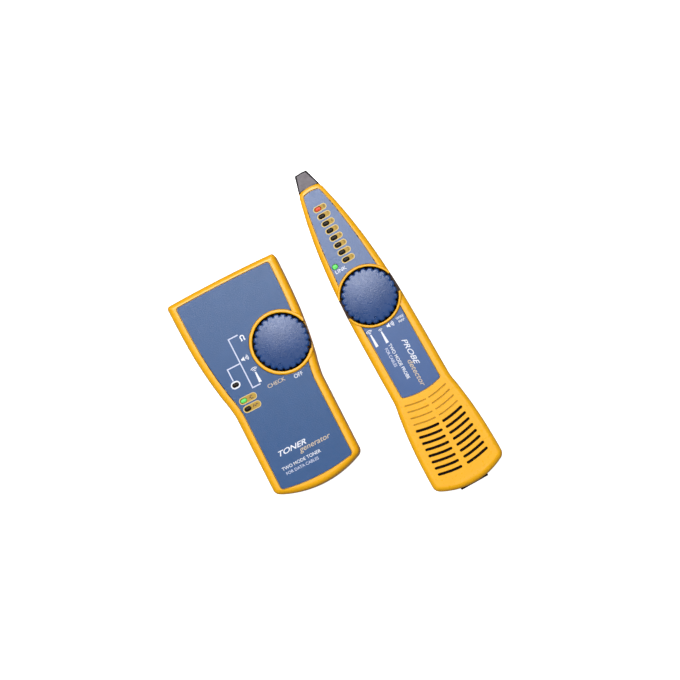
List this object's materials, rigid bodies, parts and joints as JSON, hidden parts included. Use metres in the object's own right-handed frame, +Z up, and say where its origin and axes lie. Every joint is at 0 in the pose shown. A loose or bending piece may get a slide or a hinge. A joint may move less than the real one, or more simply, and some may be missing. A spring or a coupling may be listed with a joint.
{
  "type": "tone probe kit",
  "caption": "Cable-tracing pair: a wide tone sender with a rotary selector and jacks, and a long tapered probe with a grey tip, signal lamps, rotary selector and speaker grille.",
  "frame": {"origin": "middle of the pair's footprint on the table, at the height of their flat backs", "axes": "+X from the toner to the probe, +Y towards the probe's tip and the toner's jack end, +Z up out of the faces"},
  "size_m": [0.1456, 0.2215, 0.032],
  "materials": {
    "yellow_plastic": "satin moulded, golden yellow",
    "blue_label": "satin printed film, blue",
    "pale_blue_label": "satin printed film, paler blue",
    "knob_blue": "satin moulded, blue",
    "grey_tip": "satin moulded, grey",
    "black_plastic": "moulded, black",
    "white_nylon": "moulded, natural white",
    "circuit_board": "glass-fibre board, green solder resist",
    "steel": "plated",
    "brass": "drawn",
    "battery_can": "printed can",
    "speaker_paper": "doped paper, dark",
    "dust_cloth": "fine black mesh",
    "smoke_lens": "clear, unlit, dark",
    "green_lens": "lit green",
    "red_lens": "lit red"
  },
  "bodies": {
    "toner_case": {"toner_front_case": "yellow_plastic", "toner_back_case": "yellow_plastic", "toner_face_label": "blue_label", "toner_upper_lens": "smoke_lens", "toner_middle_lens": "green_lens", "toner_lower_lens": "smoke_lens", "toner_circuit_board": "circuit_board", "toner_lan_jack": "black_plastic", "toner_phone_jack": "black_plastic", "toner_battery": "battery_can", "toner_battery_snap": "black_plastic", "toner_detent_spring": "steel", "toner_case_screw_1": "steel", "toner_case_screw_2": "steel", "toner_case_screw_3": "steel", "toner_case_screw_4": "steel"},
    "toner_dial": {"toner_knob": "knob_blue", "toner_knob_rotor": "white_nylon"},
    "toner_door": {"toner_battery_door": "yellow_plastic"},
    "probe_case": {"probe_front_case": "yellow_plastic", "probe_back_case": "yellow_plastic", "probe_tip": "grey_tip", "probe_pickup_rod": "brass", "probe_upper_label": "pale_blue_label", "probe_lower_label": "pale_blue_label", "probe_circuit_board": "circuit_board", "probe_lan_jack": "black_plastic", "probe_battery": "battery_can", "probe_battery_snap": "black_plastic", "probe_detent_spring": "steel", "probe_dust_mesh": "dust_cloth", "probe_speaker_frame": "steel", "probe_speaker_cone": "speaker_paper", "probe_speaker_magnet": "steel", "probe_sync_lens": "green_lens", "probe_signal_lens_1": "smoke_lens", "probe_signal_lens_2": "smoke_lens", "probe_signal_lens_3": "smoke_lens", "probe_signal_lens_4": "smoke_lens", "probe_signal_lens_5": "smoke_lens", "probe_signal_lens_6": "smoke_lens", "probe_signal_lens_7": "smoke_lens", "probe_signal_lens_8": "red_lens", "probe_case_screw_1": "steel", "probe_case_screw_2": "steel", "probe_case_screw_3": "steel", "probe_case_screw_4": "steel"},
    "probe_dial": {"probe_knob": "knob_blue", "probe_knob_rotor": "white_nylon"},
    "probe_door": {"probe_battery_door": "yellow_plastic"}
  },
  "joints": [
    {"name": "toner_selector", "type": "hinge", "parent": "toner_case", "child": "toner_dial", "pos_m": [-0.0182, 0.0225, 0.025], "axis": [0, 0, 1], "range_deg": [-90, 30]},
    {"name": "toner_door_slide", "type": "slide", "parent": "toner_case", "child": "toner_door", "axis": [0, -1, 0], "range_m": [0, 0.06]},
    {"name": "probe_lift", "type": "slide", "parent": "toner_case", "child": "probe_case", "axis": [0, 0, 1], "range_m": [0, 0.08]},
    {"name": "probe_selector", "type": "hinge", "parent": "probe_case", "child": "probe_dial", "pos_m": [0.04358, 0.02298, 0.025], "axis": [0, 0, 1], "range_deg": [-18, 36]},
    {"name": "probe_door_slide", "type": "slide", "parent": "probe_case", "child": "probe_door", "axis": [0.0401, -0.9992, 0], "range_m": [0, 0.075]}
  ]
}
